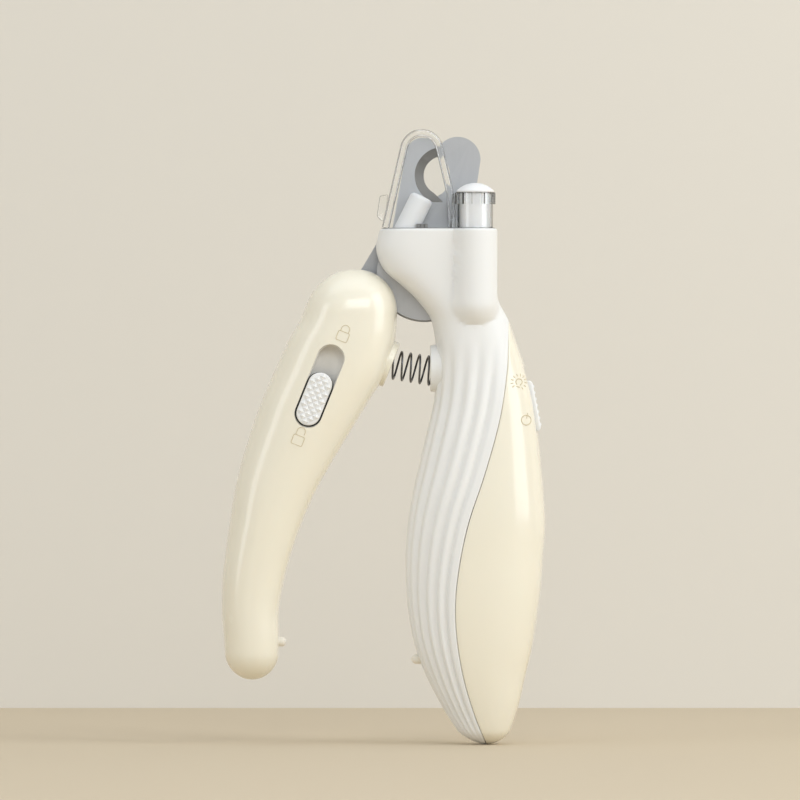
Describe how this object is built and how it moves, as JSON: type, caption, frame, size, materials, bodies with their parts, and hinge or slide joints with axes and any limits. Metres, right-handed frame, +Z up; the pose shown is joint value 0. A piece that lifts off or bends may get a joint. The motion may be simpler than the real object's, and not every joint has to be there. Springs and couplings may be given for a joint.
{
  "type": "pet nail trimmer",
  "caption": "Two-lever scissor nail trimmer with a sprung open lever, hooked steel blades, clear swinging guard, slide lock and two small lights fed from the grip.",
  "frame": {"origin": "below the middle of the open tool's bounding box, at the height of the grip's lower tip", "axes": "+Z up along the tool towards the blades, +X from the squeezed lever towards the grip, -Y is the face with the window and the lock button"},
  "size_m": [0.0631, 0.021, 0.1196],
  "materials": {
    "cream_plastic": "gloss",
    "white_plastic": "satin",
    "clear_plastic": "polished",
    "diffuser_plastic": "frosted",
    "blade_steel": "satin",
    "screw_steel": "plated",
    "spring_steel": "drawn wire",
    "cell_steel": "polished",
    "contact_brass": "plated",
    "lock_rubber": "knurled",
    "recess_grey": "satin",
    "bumper_rubber": "soft",
    "board_green": "lacquered",
    "switch_black": "moulded",
    "wire_red": "insulation",
    "washer_white": "acetal",
    "seam_grey": "satin"
  },
  "bodies": {
    "body": {"body_front_shell": "white_plastic", "body_back_shell": "white_plastic", "grip_cover": "cream_plastic", "battery_door": "cream_plastic", "battery_door_screw": "screw_steel", "battery_holder": "switch_black", "button_cell_1": "cell_steel", "button_cell_2": "cell_steel", "button_cell_3": "cell_steel", "battery_plate_contact": "contact_brass", "battery_spring_contact": "contact_brass", "circuit_board": "board_green", "switch_body": "switch_black", "lamp_wires": "wire_red", "nail_light_wires": "wire_red", "lamp_tube": "diffuser_plastic", "lamp_lens": "diffuser_plastic", "lamp_led": "clear_plastic", "nail_light_tube": "diffuser_plastic", "nail_light_led": "clear_plastic", "guard_catch": "seam_grey", "fixed_blade": "blade_steel", "pivot_washer": "washer_white", "pivot_screw": "screw_steel", "pivot_nut": "contact_brass", "body_screws": "screw_steel", "body_spring_cup": "white_plastic", "return_spring": "spring_steel", "body_bumper": "bumper_rubber"},
    "lever": {"moving_blade": "blade_steel", "lever_front_shell": "cream_plastic", "lever_back_shell": "cream_plastic", "tang_screws": "screw_steel", "lever_screws": "screw_steel", "lever_spring_cup": "cream_plastic", "lever_bumper": "bumper_rubber", "lock_track": "recess_grey", "lock_detent_spring": "spring_steel"},
    "lock": {"lock_bar": "blade_steel", "lock_button": "lock_rubber"},
    "switch": {"switch_slider": "white_plastic"},
    "guard_swing": {"guard": "clear_plastic"}
  },
  "joints": [
    {"name": "lever_pivot", "type": "hinge", "parent": "body", "child": "lever", "pos_m": [0.0079, 0, 0.0918], "axis": [0, -1, 0], "range_deg": [0, 19], "stiffness_Nm_per_rad": 0.55, "springref_deg": -20.05, "deforming": ["return_spring"]},
    {"name": "lock_slide", "type": "slide", "parent": "lever", "child": "lock", "axis": [0.3746, 0, 0.9272], "range_m": [0, 0.0054]},
    {"name": "switch_slide", "type": "slide", "parent": "body", "child": "switch", "axis": [-0.184, 0, 0.9829], "range_m": [0, 0.0026]},
    {"name": "guard_hinge", "type": "hinge", "parent": "body", "child": "guard_swing", "pos_m": [0.0178, -0.0062, 0.104], "axis": [0, 0, 1], "range_deg": [0, 90]}
  ]
}
